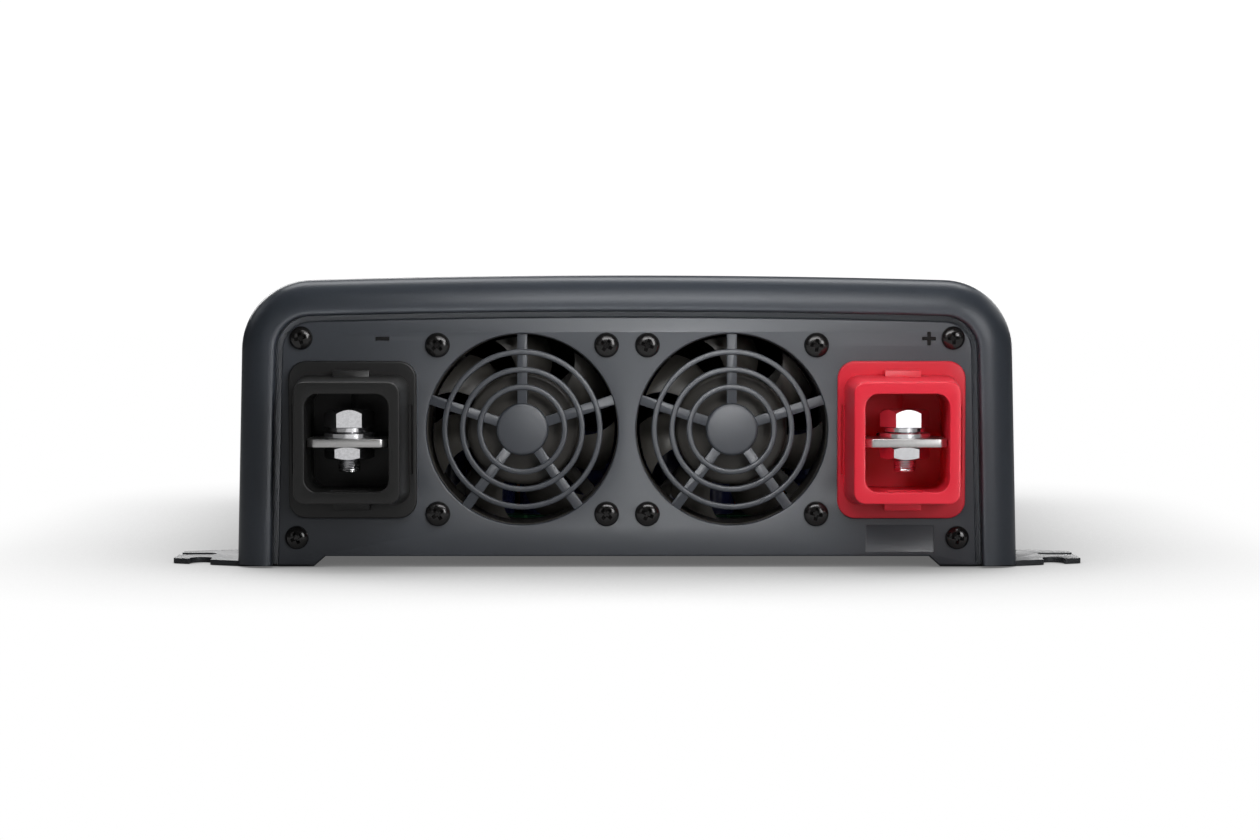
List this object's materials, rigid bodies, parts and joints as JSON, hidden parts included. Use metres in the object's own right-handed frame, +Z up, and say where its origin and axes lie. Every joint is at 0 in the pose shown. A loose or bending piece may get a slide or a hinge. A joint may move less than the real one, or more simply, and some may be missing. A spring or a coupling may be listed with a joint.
{
  "type": "power inverter",
  "caption": "Box-shaped mobile power inverter with a rounded metal cover, cooling fans, shrouded battery terminals, mains outlets and flat mounting tabs.",
  "frame": {"origin": "middle of the footprint of the whole object, terminal caps and earth stud included, on the plane of the undersides of the mounting tabs", "axes": "+Z up, +Y along the body towards the mains end, -Y towards the battery terminals, +X towards the positive terminal"},
  "size_m": [0.3282, 0.394, 0.1039],
  "materials": {
    "cover_paint": "satin",
    "bezel_plastic": "satin",
    "base_paint": "satin",
    "panel_plastic": "satin",
    "black_plastic": "satin",
    "red_plastic": "satin",
    "tinned_copper": "satin",
    "plated_steel": "polished",
    "fan_plastic": "satin",
    "black_screw": "polished",
    "outlet_plastic": "satin",
    "brass": "satin",
    "light_pipe": "polished",
    "circuit_board": "satin",
    "insulation": "matte",
    "sink_aluminium": "satin",
    "transistor_epoxy": "matte",
    "ferrite": "matte",
    "copper_winding": "satin",
    "capacitor_sleeve": "satin",
    "fuse_plastic": "satin",
    "lead_sleeve": "satin"
  },
  "bodies": {
    "inverter": {"top_cover": "cover_paint", "base_plate": "base_paint", "dc_end_bezel": "bezel_plastic", "ac_end_bezel": "bezel_plastic", "dc_end_panel": "panel_plastic", "ac_end_panel": "panel_plastic", "negative_terminal_housing": "black_plastic", "positive_terminal_housing": "red_plastic", "negative_bus_bar": "tinned_copper", "positive_bus_bar": "tinned_copper", "terminal_bolts": "plated_steel", "terminal_flat_washers": "plated_steel", "terminal_spring_washers": "plated_steel", "terminal_nuts": "plated_steel", "left_fan_frame": "fan_plastic", "right_fan_frame": "fan_plastic", "fan_screws": "black_screw", "dc_panel_screws": "black_screw", "ac_panel_screws": "black_screw", "base_screws": "black_screw", "left_ac_outlet": "outlet_plastic", "right_ac_outlet": "outlet_plastic", "outlet_earth_clips": "brass", "outlet_screws": "black_screw", "power_switch_frame": "outlet_plastic", "breaker_body": "outlet_plastic", "breaker_nut": "plated_steel", "status_lights": "light_pipe", "remote_port": "outlet_plastic", "earth_stud": "brass", "earth_nut": "plated_steel", "earth_washer": "plated_steel", "main_board": "circuit_board", "insulating_sheet": "insulation", "board_standoffs": "brass", "board_screws": "plated_steel", "bus_bar_screws": "plated_steel", "left_heat_sink": "sink_aluminium", "right_heat_sink": "sink_aluminium", "power_transistors": "transistor_epoxy", "transformer_cores": "ferrite", "transformer_windings": "copper_winding", "input_capacitors": "capacitor_sleeve", "output_capacitors": "capacitor_sleeve", "output_choke": "copper_winding", "input_fuses": "fuse_plastic", "control_board": "circuit_board", "fan_leads": "lead_sleeve", "ac_leads": "lead_sleeve", "vent_baffle": "outlet_plastic"},
    "left_fan": {"left_fan_rotor": "fan_plastic"},
    "right_fan": {"right_fan_rotor": "fan_plastic"},
    "negative_cap": {"negative_terminal_cap": "black_plastic"},
    "positive_cap": {"positive_terminal_cap": "red_plastic"},
    "rocker": {"power_switch_rocker": "outlet_plastic"},
    "reset_button": {"breaker_button": "outlet_plastic"}
  },
  "joints": [
    {"name": "left_fan_spin", "type": "hinge", "parent": "inverter", "child": "left_fan", "pos_m": [-0.03725, -0.158, 0.0492], "axis": [0, 1, 0], "continuous": true},
    {"name": "right_fan_spin", "type": "hinge", "parent": "inverter", "child": "right_fan", "pos_m": [0.03725, -0.158, 0.0492], "axis": [0, 1, 0], "continuous": true},
    {"name": "negative_cap_pull", "type": "slide", "parent": "inverter", "child": "negative_cap", "axis": [0, -1, 0], "range_m": [0, 0.03]},
    {"name": "positive_cap_pull", "type": "slide", "parent": "inverter", "child": "positive_cap", "axis": [0, -1, 0], "range_m": [0, 0.03]},
    {"name": "rocker_tilt", "type": "hinge", "parent": "inverter", "child": "rocker", "pos_m": [-0.093, 0.177, 0.066], "axis": [0, 0, 1], "range_deg": [-16, 0]},
    {"name": "reset_press", "type": "slide", "parent": "inverter", "child": "reset_button", "axis": [0, -1, 0], "range_m": [0, 0.002], "stiffness_N_per_m": 300}
  ]
}
